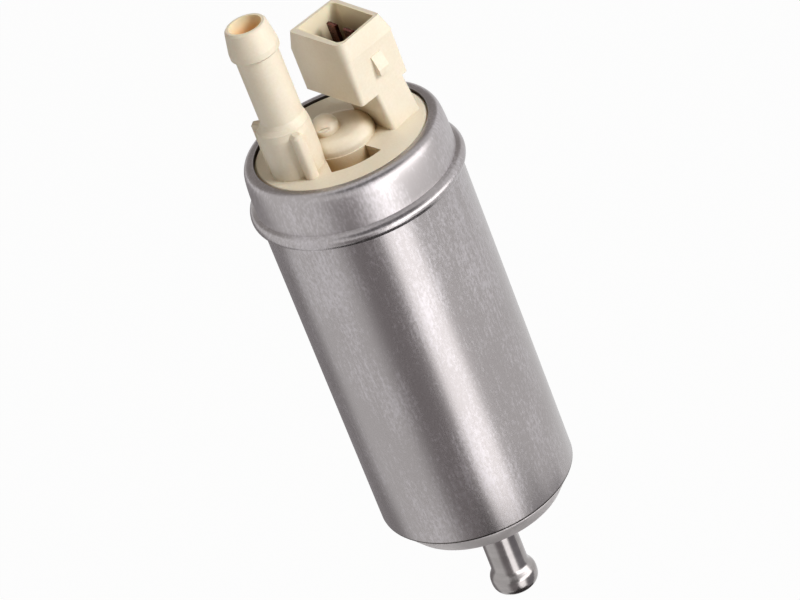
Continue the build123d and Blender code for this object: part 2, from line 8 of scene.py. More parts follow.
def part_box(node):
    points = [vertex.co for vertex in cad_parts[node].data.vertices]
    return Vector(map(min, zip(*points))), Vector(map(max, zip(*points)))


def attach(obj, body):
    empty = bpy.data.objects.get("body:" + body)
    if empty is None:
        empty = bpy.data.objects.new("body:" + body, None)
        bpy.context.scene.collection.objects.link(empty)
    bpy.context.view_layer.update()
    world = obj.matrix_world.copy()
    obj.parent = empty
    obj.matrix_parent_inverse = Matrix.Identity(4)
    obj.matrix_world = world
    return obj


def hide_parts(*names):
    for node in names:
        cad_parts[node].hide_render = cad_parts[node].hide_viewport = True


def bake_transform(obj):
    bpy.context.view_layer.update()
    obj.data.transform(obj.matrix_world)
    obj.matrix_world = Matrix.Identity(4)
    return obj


# In-line electric fuel pump: its axis is Z, with the inlet tube below and the end cover on top
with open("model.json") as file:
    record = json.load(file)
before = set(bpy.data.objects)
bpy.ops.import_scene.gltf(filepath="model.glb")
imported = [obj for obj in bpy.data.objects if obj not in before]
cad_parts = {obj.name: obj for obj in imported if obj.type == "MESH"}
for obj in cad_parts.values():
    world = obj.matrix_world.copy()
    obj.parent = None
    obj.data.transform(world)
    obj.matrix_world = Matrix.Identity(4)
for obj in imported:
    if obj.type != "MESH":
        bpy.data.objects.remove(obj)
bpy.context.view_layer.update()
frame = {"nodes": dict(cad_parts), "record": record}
scene = bpy.context.scene
scene.view_settings.view_transform = "Standard"


# Helpers for all node trees
def bare_tree(owner):
    """Empty node tree of a material or world."""
    owner.use_nodes = True
    owner.node_tree.nodes.clear()
    return owner.node_tree


def feed(tree, socket, value):
    """Sets a socket to a number, a tuple, or the output of another node."""
    if isinstance(value, (int, float, tuple)):
        socket.default_value = value
    else:
        tree.links.new(value, socket)


def math_node(tree, operation, a, b=None, clamp=False):
    node = tree.nodes.new("ShaderNodeMath")
    node.operation = operation
    node.use_clamp = clamp
    feed(tree, node.inputs[0], a)
    if b is not None:
        feed(tree, node.inputs[1], b)
    return node.outputs[0]


def vector_node(tree, operation, a, b=None, result=0):
    node = tree.nodes.new("ShaderNodeVectorMath")
    node.operation = operation
    feed(tree, node.inputs[0], a)
    if b is not None:
        feed(tree, node.inputs[1], b)
    return node.outputs[result]


def ramp(tree, value, start, end, shape="SMOOTHSTEP"):
    """0 to 1 while the value goes from start to end, smooth unless the shape is LINEAR."""
    node = tree.nodes.new("ShaderNodeMapRange")
    node.interpolation_type = shape
    feed(tree, node.inputs["Value"], value)
    feed(tree, node.inputs["From Min"], start)
    feed(tree, node.inputs["From Max"], end)
    return node.outputs[0]


def colour_mix(tree, factor, a, b, blend="MIX"):
    node = tree.nodes.new("ShaderNodeMix")
    node.data_type = "RGBA"
    node.blend_type = blend
    feed(tree, node.inputs["Factor"], factor)
    feed(tree, node.inputs["A"], (*a, 1) if isinstance(a, tuple) else a)
    feed(tree, node.inputs["B"], (*b, 1) if isinstance(b, tuple) else b)
    return node.outputs["Result"]


def noise_node(tree, vector, scale, detail, rough):
    node = tree.nodes.new("ShaderNodeTexNoise")
    feed(tree, node.inputs["Vector"], vector)
    feed(tree, node.inputs["Scale"], scale)
    feed(tree, node.inputs["Detail"], detail)
    feed(tree, node.inputs["Roughness"], rough)
    return node.outputs["Fac"]


def object_place(tree):
    """Place on the pump, in metres, and its height."""
    place = tree.nodes.new("ShaderNodeTexCoord").outputs["Object"]
    apart = tree.nodes.new("ShaderNodeSeparateXYZ")
    tree.links.new(place, apart.inputs[0])
    return place, apart.outputs["Z"]


# The camera looks down on the pump from its front, and is rolled so that the pump leans.
camera_place = Vector((-0.000997, -0.695465, 0.421201))
look_down = radians(31.201)
small_roll = radians(-0.224)
lean = radians(21.5)
image_width = 800.0
focal_length = 3939.8  # in pixels of that width
sensor_width = 36.0


def place_camera():
    forward = Vector((0, cos(look_down), -sin(look_down)))
    right = Vector((1, 0, 0))
    up = right.cross(forward)
    level_right = cos(small_roll) * right + sin(small_roll) * up
    level_up = -sin(small_roll) * right + cos(small_roll) * up
    image_right = cos(lean) * level_right - sin(lean) * level_up
    image_up = sin(lean) * level_right + cos(lean) * level_up
    turn = Matrix((image_right, image_up, -forward)).transposed().to_4x4()
    lens = bpy.data.cameras.new("photo_camera")
    lens.sensor_width = sensor_width
    lens.lens = focal_length * sensor_width / image_width
    camera = bpy.data.objects.new("photo_camera", lens)
    camera.matrix_world = Matrix.Translation(camera_place) @ turn
    scene.collection.objects.link(camera)
    scene.camera = camera


place_camera()


# Studio: soft lamps round the pump, cards that the steel reflects as its darker bands, and a
# pale floor well below the pump
floor_half, floor_height = 6.0, -0.9


def around(azimuth, elevation, distance):
    """Place seen from the pump: azimuth 0 is in front of it and 90 to its right."""
    a, e = radians(azimuth), radians(elevation)
    return Vector((sin(a) * cos(e), -cos(a) * cos(e), sin(e))) * distance


def facing_in(place, outward):
    """Placing of a flat thing whose back points outward."""
    return Matrix.Translation(place) @ outward.to_track_quat("Z", "Y").to_matrix().to_4x4()


def soft_lamp(name, place, width, height, power, mirrored=True, matte=True):
    """Lamp facing the pump that the metal mirrors, that lights matte surfaces, or both."""
    data = bpy.data.lights.new(name, "AREA")
    data.shape = "RECTANGLE"
    data.size, data.size_y = width, height
    data.energy = power
    lamp = bpy.data.objects.new(name, data)
    lamp.matrix_world = facing_in(place, place)
    lamp.visible_glossy = mirrored
    lamp.visible_diffuse = matte
    scene.collection.objects.link(lamp)


def flat_sheet(name, half_width, half_height):
    """Rectangle in its own XY plane with an empty material."""
    w, h = half_width, half_height
    mesh = bpy.data.meshes.new(name)
    mesh.from_pydata([(-w, -h, 0), (w, -h, 0), (w, h, 0), (-w, h, 0)], [], [(0, 1, 2, 3)])
    material = bpy.data.materials.new(name)
    mesh.materials.append(material)
    sheet = bpy.data.objects.new(name, mesh)
    scene.collection.objects.link(sheet)
    return sheet, bare_tree(material)


def dark_card(name, place, width, height, tone, level=False, soft_edge=0.0):
    """Dull card that only reflections show. It faces the pump's middle, or its axis if level.

    Over the width of its soft edge, which is on its left, or on its right where that width is
    negative, the card fades to white.
    """
    card, tree = flat_sheet(name, width / 2, height / 2)
    shade = (*tone, 1)
    if soft_edge:
        across = tree.nodes.new("ShaderNodeSeparateXYZ")
        tree.links.new(tree.nodes.new("ShaderNodeTexCoord").outputs["Object"], across.inputs[0])
        edge = -width / 2 if soft_edge > 0 else width / 2
        inward = ramp(tree, across.outputs["X"], edge, edge + soft_edge)
        shade = colour_mix(tree, inward, (1, 1, 1), tone)
    glow = tree.nodes.new("ShaderNodeEmission")
    feed(tree, glow.inputs["Color"], shade)
    tree.links.new(glow.outputs[0], tree.nodes.new("ShaderNodeOutputMaterial").inputs[0])
    card.matrix_world = facing_in(place, Vector((place.x, place.y, 0.0)) if level else place)
    card.visible_camera = False
    card.visible_shadow = False
    card.visible_diffuse = False
    card.visible_transmission = False


def white_where_seen(tree, plain, white, output, share=1.0):
    """Plain shader for the light, white for what camera, glossy and transmission rays show."""
    rays = tree.nodes.new("ShaderNodeLightPath").outputs
    seen = math_node(tree, "MAXIMUM", rays["Is Camera Ray"], rays["Is Glossy Ray"])
    seen = math_node(tree, "MAXIMUM", seen, rays["Is Transmission Ray"])
    mix = tree.nodes.new("ShaderNodeMixShader")
    feed(tree, mix.inputs[0], math_node(tree, "MULTIPLY", seen, share))
    feed(tree, mix.inputs[1], plain.outputs[0])
    feed(tree, mix.inputs[2], white.outputs[0])
    tree.links.new(mix.outputs[0], tree.nodes.new(output).inputs[0])


def build_backdrop():
    """Weak warm light from all round, a plain white background, and the floor."""
    scene.world = bpy.data.worlds.new("studio")
    tree = bare_tree(scene.world)
    fill = tree.nodes.new("ShaderNodeBackground")
    fill.inputs["Color"].default_value = (1.0, 0.92, 0.80, 1)
    fill.inputs["Strength"].default_value = 0.28
    white = tree.nodes.new("ShaderNodeBackground")
    white.inputs["Color"].default_value = (1, 1, 1, 1)
    white_where_seen(tree, fill, white, "ShaderNodeOutputWorld")

    floor, tree = flat_sheet("pale_floor", floor_half, floor_half)
    floor.matrix_world = Matrix.Translation((0, 0, floor_height))
    paper = tree.nodes.new("ShaderNodeBsdfDiffuse")
    paper.inputs["Color"].default_value = (0.8, 0.8, 0.8, 1)
    glow = tree.nodes.new("ShaderNodeEmission")
    # A little of the paper stays in what is seen, so that the floor keeps the pump's shadow
    white_where_seen(tree, paper, glow, "ShaderNodeOutputMaterial", share=0.97)


def build_lights():
    soft_lamp("key_soft", around(20, -24, 1.1), 0.53, 0.95, power=2.5)
    soft_lamp("front_right_soft", around(55, 35, 1.2), 0.5, 0.5, power=11.8, mirrored=False)
    soft_lamp("left_soft", around(-90, -10, 1.3), 0.7, 1.3, power=3.0, mirrored=False)
    soft_lamp("right_soft", around(50, 2, 1.4), 2.0, 0.80, power=13.0, matte=False)

    dark_card("dark_card_left", around(-27, -28, 1.0), 0.90, 0.9, (0.345, 0.322, 0.33), soft_edge=0.40)
    dark_card("grey_card_back_left", around(-141, -28, 1.0), 1.07, 0.9, (0.33, 0.31, 0.315), soft_edge=-0.40)
    dark_card("dark_card_top", around(12, 48, 1.0), 1.3, 0.9, (0.16, 0.15, 0.16))
    dark_card("dark_card_back", around(180, 38, 1.0), 1.6, 0.9, (0.34, 0.315, 0.30))
    dark_card("dark_card_below", around(30, -78, 0.8), 0.92, 0.92, (0.07, 0.066, 0.066))
    # Two small cards below the can darken only the bead's front and the inlet tube's right side
    bead_card_place = around(-10, 12, 0.026) - Vector((0, 0, 0.075))
    tube_card_place = around(68, 0, 0.060) - Vector((0, 0, 0.139))
    dark_card("dark_card_bead", bead_card_place, 0.018, 0.0105, (0.34, 0.33, 0.33), level=True)
    dark_card("dark_card_tube", tube_card_place, 0.058, 0.104, (0.34, 0.33, 0.35), level=True)


build_backdrop()
build_lights()


# Shader groups shared by the finishes
def shader_group(name, inputs, outputs):
    """Empty node group with named inputs (name, kind, value) and outputs (name, kind)."""
    group = bpy.data.node_groups.new(name, "ShaderNodeTree")
    for label, kind, value in inputs:
        socket = group.interface.new_socket(label, in_out="INPUT", socket_type=kind)
        socket.default_value = value
    for label, kind in outputs:
        group.interface.new_socket(label, in_out="OUTPUT", socket_type=kind)
    return group, group.nodes.new("NodeGroupInput").outputs, group.nodes.new("NodeGroupOutput").inputs


def mottle_group():
    """Cloudy tone, fine grain and upright streaks on an object, each 0 to 1 about 0.5."""
    group, given, out = shader_group(
        "mottle",
        [
            ("Cloud Size", "NodeSocketFloat", 120.0),
            ("Grain Size", "NodeSocketFloat", 2500.0),
            ("Streak Size", "NodeSocketFloat", 900.0),
            ("Stretch", "NodeSocketFloat", 1.0),
        ],
        [
            ("Cloud", "NodeSocketFloat"),
            ("Grain", "NodeSocketFloat"),
            ("Streak", "NodeSocketFloat"),
        ],
    )
    place = object_place(group)[0]
    squeeze = group.nodes.new("ShaderNodeCombineXYZ")
    feed(group, squeeze.inputs[0], 1.0)
    feed(group, squeeze.inputs[1], 1.0)
    feed(group, squeeze.inputs[2], given["Stretch"])
    scaled = vector_node(group, "MULTIPLY", place, squeeze.outputs[0])
    drawn = vector_node(group, "MULTIPLY", place, (1.0, 1.0, 0.04))
    feed(group, out["Cloud"], noise_node(group, scaled, given["Cloud Size"], 4.0, 0.55))
    feed(group, out["Grain"], noise_node(group, scaled, given["Grain Size"], 2.0, 0.6))
    feed(group, out["Streak"], noise_node(group, drawn, given["Streak Size"], 3.0, 0.6))
    return group


def tone_group():
    """Colour that drifts between two tones by a mask under fine grain, with its roughness."""
    group, given, out = shader_group(
        "tone",
        [
            ("Light", "NodeSocketColor", (1, 1, 1, 1)),
            ("Dark", "NodeSocketColor", (0, 0, 0, 1)),
            ("Cloud", "NodeSocketFloat", 0.5),
            ("Grain", "NodeSocketFloat", 0.5),
            ("Grain Amount", "NodeSocketFloat", 0.1),
            ("Rough Middle", "NodeSocketFloat", 0.4),
            ("Rough Spread", "NodeSocketFloat", 0.1),
        ],
        [("Color", "NodeSocketColor"), ("Roughness", "NodeSocketFloat")],
    )
    shade = math_node(group, "SUBTRACT", given["Grain"], 0.5)
    shade = math_node(group, "MULTIPLY", shade, given["Grain Amount"])
    shade = math_node(group, "ADD", shade, given["Cloud"], clamp=True)
    spread = ramp(group, shade, 0.25, 0.75)
    feed(group, out["Color"], colour_mix(group, spread, given["Dark"], given["Light"]))
    drift = math_node(group, "SUBTRACT", spread, 0.5)
    drift = math_node(group, "MULTIPLY", drift, given["Rough Spread"])
    feed(group, out["Roughness"], math_node(group, "ADD", drift, given["Rough Middle"], clamp=True))
    return group


def round_mask_group():
    """1 near an upright line, fading to 0 between two distances and below a height."""
    group, given, out = shader_group(
        "round_mask",
        [
            ("Centre", "NodeSocketVector", (0, 0, 0)),
            ("Full Within", "NodeSocketFloat", 0.001),
            ("Gone Beyond", "NodeSocketFloat", 0.002),
            ("Low Height", "NodeSocketFloat", 0.0),
            ("High Height", "NodeSocketFloat", 0.001),
        ],
        [("Mask", "NodeSocketFloat")],
    )
    place, height = object_place(group)
    apart = vector_node(group, "SUBTRACT", place, given["Centre"])
    level = vector_node(group, "MULTIPLY", apart, (1.0, 1.0, 0.0))
    reach = vector_node(group, "LENGTH", level, result="Value")
    near = ramp(group, reach, given["Gone Beyond"], given["Full Within"])
    high = ramp(group, height, given["Low Height"], given["High Height"])
    feed(group, out["Mask"], math_node(group, "MULTIPLY", near, high))
    return group


def side_mask_group():
    """1 on one side of an upright plane, fading to 0 over a short way across it."""
    group, given, out = shader_group(
        "side_mask",
        [
            ("Point", "NodeSocketVector", (0, 0, 0)),
            ("Inward", "NodeSocketVector", (1, 0, 0)),
            ("Soft", "NodeSocketFloat", 0.0003),
        ],
        [("Mask", "NodeSocketFloat")],
    )
    apart = vector_node(group, "SUBTRACT", object_place(group)[0], given["Point"])
    depth = vector_node(group, "DOT_PRODUCT", apart, given["Inward"], result="Value")
    feed(group, out["Mask"], ramp(group, depth, 0.0, given["Soft"]))
    return group


mottle = mottle_group()
tone = tone_group()
round_mask = round_mask_group()
side_mask = side_mask_group()


def place_group(tree, group, **values):
    """Puts a shared group in a material, sets its inputs and gives its outputs."""
    node = tree.nodes.new("ShaderNodeGroup")
    node.node_tree = group
    for label, value in values.items():
        feed(tree, node.inputs[label.replace("_", " ")], value)
    return node.outputs


# Finishes
def finish(name, light, dark, metallic=0.0, rough=0.4, rough_spread=0.1, cloud=120.0, grain=2500.0,
           streak=900.0, stretch=1.0, grain_amount=0.5, streak_amount=0.0, streak_level=0.5,
           bump=0.05, bump_depth=0.0001, **shader_values):
    """Material of one finish: two close tones, varied roughness and a fine relief."""
    material = bpy.data.materials.new(name)
    material.use_nodes = True
    tree = material.node_tree
    shader = tree.nodes["Principled BSDF"]
    surface = place_group(tree, mottle, Cloud_Size=cloud, Grain_Size=grain, Streak_Size=streak,
                          Stretch=stretch)
    clouds = surface["Cloud"]
    if streak_amount:
        drawn = math_node(tree, "SUBTRACT", surface["Streak"], streak_level)
        drawn = math_node(tree, "MULTIPLY", drawn, streak_amount)
        clouds = math_node(tree, "ADD", clouds, drawn)
    tint = place_group(tree, tone, Light=(*light, 1), Dark=(*dark, 1), Cloud=clouds,
                       Grain=surface["Grain"], Grain_Amount=grain_amount, Rough_Middle=rough,
                       Rough_Spread=rough_spread)
    tree.links.new(tint["Color"], shader.inputs["Base Color"])
    tree.links.new(tint["Roughness"], shader.inputs["Roughness"])
    relief = tree.nodes.new("ShaderNodeBump")
    relief.inputs["Strength"].default_value = bump
    relief.inputs["Distance"].default_value = bump_depth
    tree.links.new(surface["Grain"], relief.inputs["Height"])
    tree.links.new(relief.outputs["Normal"], shader.inputs["Normal"])
    shader.inputs["Metallic"].default_value = metallic
    for socket, value in shader_values.items():
        shader.inputs[socket.replace("_", " ")].default_value = value
    return material


# Places on the end cover, in metres
outlet_axis = (-0.0093, -0.0043, 0.0)
tower_axis = (-0.0098, -0.0043, 0.0)
tower_seam_height = 0.0510
socket_corners = [(0.00675, -0.0067), (0.0149, -0.0007), (0.0084, 0.0118), (0.0, 0.0065)]
socket_overlap = 0.0004
peg_dent = (-0.0025, -0.00292, 0.04500)

# Pairs of heights, in metres, over which a tint comes in; most of these tints are painted light or shade
down_the_bore = (0.0745, 0.0700)
over_socket_floor = (0.0505, 0.0509)
down_the_socket = (0.0632, 0.0540)
over_pocket_floor = (0.0365, 0.0367)
under_cover_face = (0.04055, 0.0403)
under_cap_top = (0.0452, 0.0440)
up_the_collar = (0.0300, 0.0325)
at_can_foot = (-0.0478, -0.04805)


def tint_bore(tree, colour, height):
    """Warm light that comes through the outlet tube's wall, deeper in tone down the bore."""
    bore = place_group(tree, round_mask, Centre=outlet_axis, Full_Within=0.00345, Gone_Beyond=0.00385,
                       Low_Height=0.050, High_Height=0.052)["Mask"]
    deep = ramp(tree, height, *down_the_bore)
    warm = colour_mix(tree, deep, (1.0, 0.90, 0.66), (1.0, 0.62, 0.28))
    return colour_mix(tree, bore, colour, warm)


def paint_socket_light_and_shade(tree, colour, height):
    """Painted light, a brighter and warmer cream, on the plug socket's inner walls, and painted shade, brown
    towards its floor.
    """
    inside = ramp(tree, height, *over_socket_floor)
    for i, corner in enumerate(socket_corners):
        start = Vector(corner)
        along = Vector(socket_corners[(i + 1) % 4]) - start
        inward = Vector((-along.y, along.x)).normalized()
        edge = start - inward * socket_overlap
        side = place_group(tree, side_mask, Point=(edge.x, edge.y, 0.0),
                           Inward=(inward.x, inward.y, 0.0), Soft=0.0003)["Mask"]
        inside = math_node(tree, "MULTIPLY", inside, side)
    # Painted light: the socket's inner walls get a brighter, warmer cream than the cover
    colour = colour_mix(tree, inside, colour, (1.0, 0.90, 0.68))
    # Painted shade: brown that deepens down the socket towards its floor
    deep = math_node(tree, "MULTIPLY", inside, ramp(tree, height, *down_the_socket))
    return colour_mix(tree, deep, colour, (0.22, 0.125, 0.06))


def paint_hollow_shade(tree, colour, height):
    """Painted shade: a browner pocket below the cover's top face, and browner corners round the cap."""
    # Painted shade in the pocket below the cover's top face
    pocket = math_node(tree, "MULTIPLY", ramp(tree, height, *under_cover_face),
                       ramp(tree, height, *over_pocket_floor))
    painted_shade_colour = colour_mix(tree, 1.0, colour, (0.88, 0.82, 0.72), "MULTIPLY")
    colour = colour_mix(tree, pocket, colour, painted_shade_colour)
    # Painted shade in the corners round the cap, where ambient occlusion finds them
    hidden = tree.nodes.new("ShaderNodeAmbientOcclusion")
    hidden.samples = 8
    hidden.only_local = True
    hidden.inputs["Distance"].default_value = 0.012
    corner = ramp(tree, hidden.outputs["AO"], 0.60, 0.12)
    corner = math_node(tree, "MULTIPLY", corner, ramp(tree, height, *under_cap_top))
    painted_shade_colour = colour_mix(tree, 1.0, colour, (0.60, 0.50, 0.36), "MULTIPLY")
    return colour_mix(tree, corner, colour, painted_shade_colour)


def mould_marks(tree, place, height):
    """Relief of the dent in the gate peg and of the parting line round the tower."""
    from_dent = vector_node(tree, "SUBTRACT", place, peg_dent)
    from_dent = vector_node(tree, "MULTIPLY", from_dent, (0.55, 0.3, 1.6))
    dent = ramp(tree, vector_node(tree, "LENGTH", from_dent, result="Value"), 0.00075, 0.00035)
    off_seam = math_node(tree, "SUBTRACT", height, tower_seam_height)
    off_seam = math_node(tree, "ABSOLUTE", off_seam)
    line = math_node(tree, "SUBTRACT", 1.0, ramp(tree, off_seam, 0.00005, 0.00022))
    tower = place_group(tree, round_mask, Centre=tower_axis, Full_Within=0.0062, Gone_Beyond=0.0064,
                        Low_Height=0.049, High_Height=0.050)["Mask"]
    line = math_node(tree, "MULTIPLY", line, tower)
    form = tree.nodes.new("ShaderNodeBump")
    form.inputs["Strength"].default_value = 0.9
    form.inputs["Distance"].default_value = 0.00035
    raised = math_node(tree, "SUBTRACT", math_node(tree, "MULTIPLY", line, 0.18), dent)
    tree.links.new(raised, form.inputs["Height"])
    return form.outputs["Normal"]


def tint_cover(material):
    """Painted light and shade in the bore, socket and hollows, and the mould marks of the end cover, over
    its plain finish.
    """
    tree = material.node_tree
    shader = tree.nodes["Principled BSDF"]
    place, height = object_place(tree)
    colour = shader.inputs["Base Color"].links[0].from_socket
    colour = tint_bore(tree, colour, height)
    colour = paint_socket_light_and_shade(tree, colour, height)
    colour = paint_hollow_shade(tree, colour, height)
    tree.links.new(colour, shader.inputs["Base Color"])
    tree.links.new(mould_marks(tree, place, height), tree.nodes["Bump"].inputs["Normal"])


def paint_can_sheen_and_shade(material):
    """Duller steel on the worked collar, paler there as a painted sheen, and dark painted shade where the
    can meets the cover at its lip and at its foot.
    """
    tree = material.node_tree
    shader = tree.nodes["Principled BSDF"]
    height = object_place(tree)[1]
    collar = ramp(tree, height, *up_the_collar)
    foot_seam_shade = ramp(tree, height, *at_can_foot)
    lip_seam_shade = place_group(tree, round_mask, Full_Within=0.01858, Gone_Beyond=0.0187,
                           Low_Height=0.0390, High_Height=0.0392)["Mask"]
    colour = shader.inputs["Base Color"].links[0].from_socket
    # Painted sheen: a paler steel colour on the collar, standing in for the broad highlight it catches
    collar_sheen_colour = colour_mix(tree, 1.0, colour, (1.10, 1.10, 1.10), "MULTIPLY")
    colour = colour_mix(tree, collar, colour, collar_sheen_colour)
    # Painted shade: dark lines where the can meets the cover at its lip and at its foot
    seam_shade = math_node(tree, "MAXIMUM", foot_seam_shade, lip_seam_shade)
    tree.links.new(colour_mix(tree, seam_shade, colour, (0.06, 0.05, 0.045)), shader.inputs["Base Color"])
    rough = shader.inputs["Roughness"].links[0].from_socket
    rough = math_node(tree, "ADD", rough, math_node(tree, "MULTIPLY", collar, 0.09))
    tree.links.new(rough, shader.inputs["Roughness"])


finishes = {
    "can_steel": dict(light=(0.48, 0.452, 0.465), dark=(0.355, 0.33, 0.33), metallic=1.0, rough=0.29,
                      rough_spread=0.06, cloud=90.0, grain=2000.0, streak=1800.0, stretch=0.5,
                      grain_amount=1.0, streak_amount=0.6, streak_level=0.72, bump=0.2,
                      bump_depth=0.000012),
    "cover_plastic": dict(light=(0.875, 0.80, 0.665), dark=(0.82, 0.73, 0.585), rough=0.42,
                          rough_spread=0.08, cloud=60.0, grain=1800.0, bump=0.03,
                          Subsurface_Weight=0.12, Subsurface_Scale=0.0015),
    "cast_alloy": dict(light=(0.62, 0.59, 0.595), dark=(0.48, 0.455, 0.46), metallic=0.6, rough=0.55,
                       grain=3500.0, bump=0.3),
    "polished_steel": dict(light=(0.37, 0.347, 0.342), dark=(0.31, 0.29, 0.285), metallic=1.0,
                           rough=0.21, rough_spread=0.05, grain=4000.0, stretch=6.0, bump=0.08,
                           bump_depth=0.00003),
    "seal_rubber": dict(light=(0.03, 0.03, 0.03), dark=(0.02, 0.02, 0.02), rough=0.6),
    "plate_alloy": dict(light=(0.45, 0.45, 0.46), dark=(0.34, 0.34, 0.35), metallic=1.0, rough=0.4),
    "sintered_iron": dict(light=(0.25, 0.25, 0.26), dark=(0.15, 0.15, 0.16), metallic=1.0, rough=0.45,
                          grain=5000.0, grain_amount=1.5, bump=0.2),
    "bush_bronze": dict(light=(0.50, 0.33, 0.16), dark=(0.38, 0.24, 0.11), metallic=1.0, rough=0.45),
    "bright_steel": dict(light=(0.55, 0.55, 0.56), dark=(0.46, 0.46, 0.47), metallic=1.0, rough=0.2),
    "core_steel": dict(light=(0.24, 0.24, 0.25), dark=(0.15, 0.15, 0.16), metallic=1.0, rough=0.5,
                       stretch=30.0),
    "ferrite": dict(light=(0.06, 0.06, 0.065), dark=(0.035, 0.035, 0.04), rough=0.6),
    "winding_copper": dict(light=(0.62, 0.26, 0.10), dark=(0.40, 0.14, 0.05), metallic=1.0, rough=0.3),
    "contact_copper": dict(light=(0.78, 0.40, 0.22), dark=(0.62, 0.28, 0.14), metallic=1.0, rough=0.3),
    "hub_plastic": dict(light=(0.05, 0.04, 0.035), dark=(0.03, 0.025, 0.02), rough=0.5),
    "carrier_plastic": dict(light=(0.72, 0.68, 0.58), dark=(0.64, 0.60, 0.50), rough=0.45),
    "brush_carbon": dict(light=(0.035, 0.035, 0.035), dark=(0.02, 0.02, 0.02), rough=0.6),
    "spring_steel": dict(light=(0.45, 0.45, 0.46), dark=(0.34, 0.34, 0.35), metallic=1.0, rough=0.3),
    # Painted shade: the blade copper is far darker than bare copper, standing in for the dark socket it
    # reflects
    "blade_copper": dict(light=(0.17, 0.062, 0.045), dark=(0.09, 0.032, 0.026), metallic=1.0,
                         rough=0.28, cloud=500.0, grain=6000.0, bump=0.1, bump_depth=0.00003),
}
materials = {name: finish(name, **settings) for name, settings in finishes.items()}
tint_cover(materials["cover_plastic"])
paint_can_sheen_and_shade(materials["can_steel"])


# Round steel pieces made finer than their solids, in half profiles of millimetres
can_r, sheet_thickness = 21.5, 1.0
can_foot, can_top = -48.45, 41.0
ridge_height, ridge_round = 30.15, 1.55
lip_r = 18.53
tube_r, tube_bore_r = 4.13, 3.1
tube_mouth, tube_top = -77.5, -45.2
crease_angle = radians(30)


def add_piece(name, verts, faces, slot, body, *replaced):
    """Finished mesh with smooth faces and crisp edges, in place of the solids it stands for."""
    mesh = bpy.data.meshes.new(name)
    mesh.from_pydata(verts, [], faces)
    mesh.validate()
    mesh.shade_smooth()
    mesh.set_sharp_from_angle(angle=crease_angle)
    mesh.materials.append(materials[slot])
    piece = bpy.data.objects.new(name, mesh)
    scene.collection.objects.link(piece)
    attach(piece, body)
    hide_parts(*replaced)


def arc_points(centre, radius, first, last, count):
    """Points of an arc in the half profile, angles in degrees from the outward direction."""
    points = []
    for i in range(count + 1):
        a = radians(first + (last - first) * i / count)
        points.append((centre[0] + radius * cos(a), centre[1] + radius * sin(a)))
    return points


def smooth_run(points, steps):
    """Half profile through the given points on a smooth curve."""
    run = []
    for i in range(len(points) - 1):
        before = Vector(points[max(i - 1, 0)])
        start, end = Vector(points[i]), Vector(points[i + 1])
        after = Vector(points[min(i + 2, len(points) - 1)])
        lean_in, lean_out = (end - before) / 2, (after - start) / 2
        for k in range(steps):
            s = k / steps
            a, b = 2 * s**3 - 3 * s**2 + 1, s**3 - 2 * s**2 + s
            c, d = -2 * s**3 + 3 * s**2, s**3 - s**2
            run.append(tuple(a * start + b * lean_in + c * end + d * lean_out))
    run.append(tuple(points[-1]))
    return run


def turned_piece(name, profile, segments, slot, body, *replaced):
    """Closed half profile, counterclockwise as seen, turned round the pump's axis."""
    count = len(profile)
    verts, faces = [], []
    for k in range(segments):
        a = 2 * pi * k / segments
        verts += [(r * cos(a) / 1000, r * sin(a) / 1000, z / 1000) for r, z in profile]
    for k in range(segments):
        here, there = k * count, (k + 1) % segments * count
        for i in range(count):
            j = (i + 1) % count
            faces.append((here + i, there + i, there + j, here + j))
    add_piece(name, verts, faces, slot, body, *replaced)


def build_can():
    """Steel can: straight wall, round ridge, and its top rolled over the end cover."""
    foot = [(can_r - 0.35, can_foot), (can_r - 0.14, can_foot + 0.09), (can_r - 0.05, can_foot + 0.20),
            (can_r, can_foot + 0.45)]
    wall = [(can_r, z) for z in (-30.0, -10.0, 10.0, 27.9)]
    ridge = arc_points((can_r - 0.05, ridge_height), ridge_round, -62, 62, 14)
    ridge = [(can_r + 0.03, ridge_height - 1.7)] + ridge + [(can_r + 0.03, ridge_height + 1.7)]
    collar = smooth_run([(can_r, 32.3), (21.46, 34.6), (21.36, 36.8), (21.2, 38.6), (20.98, 39.7),
                         (20.55, 40.5), (19.85, 40.9), (19.0, can_top)], 4)
    lip = [(18.7, can_top - 0.03), (lip_r + 0.03, can_top - 0.15), (lip_r, can_top - 0.35),
           (lip_r, can_top - sheet_thickness), (19.2, can_top - sheet_thickness)]
    inner_r = can_r - sheet_thickness
    inside = [(inner_r, 38.7), (inner_r, 31.3), (22.0, 30.55), (22.0, 29.75), (inner_r, 29.0),
              (inner_r, can_foot)]
    turned_piece("can_shell", foot + wall + ridge + collar + lip + inside, 256, "can_steel",
                 "housing", "can")


def build_inlet_tube():
    """Inlet tube with its swaged bead, smooth all round."""
    mouth = [(tube_bore_r, tube_mouth + 0.4), (tube_bore_r + 0.15, tube_mouth + 0.12),
             (tube_bore_r + 0.4, tube_mouth)]
    bead = smooth_run([(3.8, tube_mouth), (4.35, -77.22), (4.78, -76.75), (5.08, -76.1), (5.19, -75.4),
                       (5.19, -74.3), (5.02, -73.55), (4.68, -72.9), (4.36, -72.3), (4.17, -71.6),
                       (tube_r, -70.6)], 5)
    shank = [(tube_r, -60.0), (tube_r, tube_top), (tube_bore_r, tube_top)]
    turned_piece("inlet_tube", mouth + bead + shank, 128, "polished_steel", "housing", "inlet_spigot")


build_can()
build_inlet_tube()


# Springs and coils: round wire along a helix, made by Geometry Nodes, on axes in millimetres
brush_axes = {"positive": (-1.98, 7.389), "negative": (1.98, -7.389)}
choke_axes = {"positive": (12.1, 7.1), "negative": (13.5, -3.4)}
valve_axis = (-9.3, -4.3)
relief_axis = (16.0, 0.0)
spring_end_turns = 0.8
wire_sides, steps_per_turn = 10, 28
wire_pitch = 2.02  # closed turns lie this many wire radii apart


